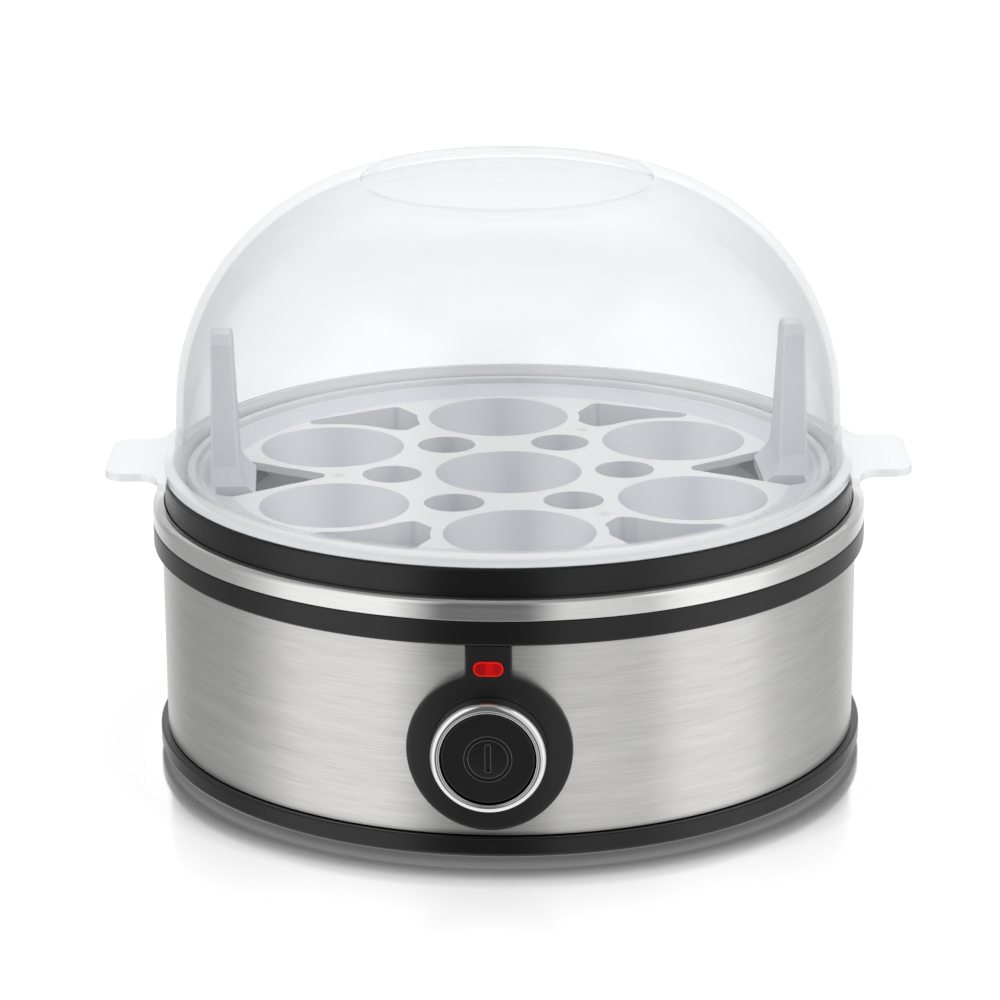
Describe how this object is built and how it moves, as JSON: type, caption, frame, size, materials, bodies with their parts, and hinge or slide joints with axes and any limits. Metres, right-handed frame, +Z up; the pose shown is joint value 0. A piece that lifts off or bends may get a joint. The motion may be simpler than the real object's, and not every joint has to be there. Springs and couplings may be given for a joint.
{
  "type": "egg cooker",
  "caption": "Round electric egg steamer: brushed steel base with push button and pilot light, slotted egg tray with upright handles, and a clear domed lid with two ears.",
  "frame": {"origin": "on the cooker's vertical axis, at the level of the table the feet stand on", "axes": "+Z up along the cooker's axis, control panel faces -Y, +X to the right seen from the front; the lid's ears point along +X and -X"},
  "size_m": [0.1984, 0.1803, 0.143],
  "materials": {
    "black_plastic": "satin moulded",
    "panel_plastic": "satin gloss moulded",
    "button_plastic": "semi-gloss moulded",
    "rubber": "matt",
    "silicone": "matt",
    "brushed_steel": "fine brushed round the body",
    "brushed_steel_bright": "fine brushed, bright",
    "plate_aluminium": "satin",
    "element_sheath": "dull",
    "zinc_screw": "zinc plated",
    "zinc_sheet": "zinc plated",
    "brass_screw": "bright",
    "spring_steel": "drawn",
    "bakelite": "matt",
    "glass_sleeve": "woven glass fibre",
    "natural_nylon": "natural",
    "red_lens": "clear red",
    "lamp_glass": "clear",
    "chrome": "polished",
    "brown_lead": "satin",
    "blue_lead": "satin",
    "green_lead": "satin",
    "white_lead": "satin",
    "tray_plastic": "satin translucent",
    "lid_plastic": "frosted clear"
  },
  "bodies": {
    "base": {"bottom_cover": "black_plastic", "rubber_feet": "rubber", "bottom_screws": "zinc_screw", "housing_shell": "black_plastic", "steel_wrap": "brushed_steel", "middle_band": "black_plastic", "upper_steel_band": "brushed_steel_bright", "top_ring": "black_plastic", "plate_gasket": "silicone", "heating_plate": "plate_aluminium", "plate_nuts": "zinc_screw", "heating_element": "element_sheath", "element_pins": "zinc_screw", "thermostat": "bakelite", "thermostat_clamp": "zinc_sheet", "thermostat_screws": "zinc_screw", "thermal_fuse": "zinc_sheet", "fuse_sleeve": "glass_sleeve", "terminal_block": "natural_nylon", "terminal_screws": "brass_screw", "cord_gland": "rubber", "control_panel": "panel_plastic", "indicator_lens": "red_lens", "indicator_lamp": "lamp_glass", "button_bezel": "chrome", "button_spring": "spring_steel", "switch_body": "bakelite", "switch_terminals": "brass_screw", "switch_bracket": "black_plastic", "switch_screws": "zinc_screw", "lead_live": "brown_lead", "lead_switched": "brown_lead", "lead_fused": "brown_lead", "lead_neutral": "blue_lead", "lead_earth": "green_lead", "lead_pilot": "white_lead"},
    "button": {"button_cap": "button_plastic", "switch_plunger": "natural_nylon"},
    "egg_tray_body": {"egg_tray": "tray_plastic", "egg_cups": "tray_plastic"},
    "lid_body": {"lid": "lid_plastic"}
  },
  "joints": [
    {"name": "tray_lift", "type": "slide", "parent": "base", "child": "egg_tray_body", "axis": [0, 0, 1], "range_m": [0, 0.05]},
    {"name": "lid_lift", "type": "slide", "parent": "egg_tray_body", "child": "lid_body", "axis": [0, 0, 1], "range_m": [0, 0.08]},
    {"name": "button_press", "type": "slide", "parent": "base", "child": "button", "axis": [0, 1, 0], "range_m": [0, 0.0025], "stiffness_N_per_m": 400, "springref_m": -0.002, "deforming": ["button_spring"]}
  ]
}
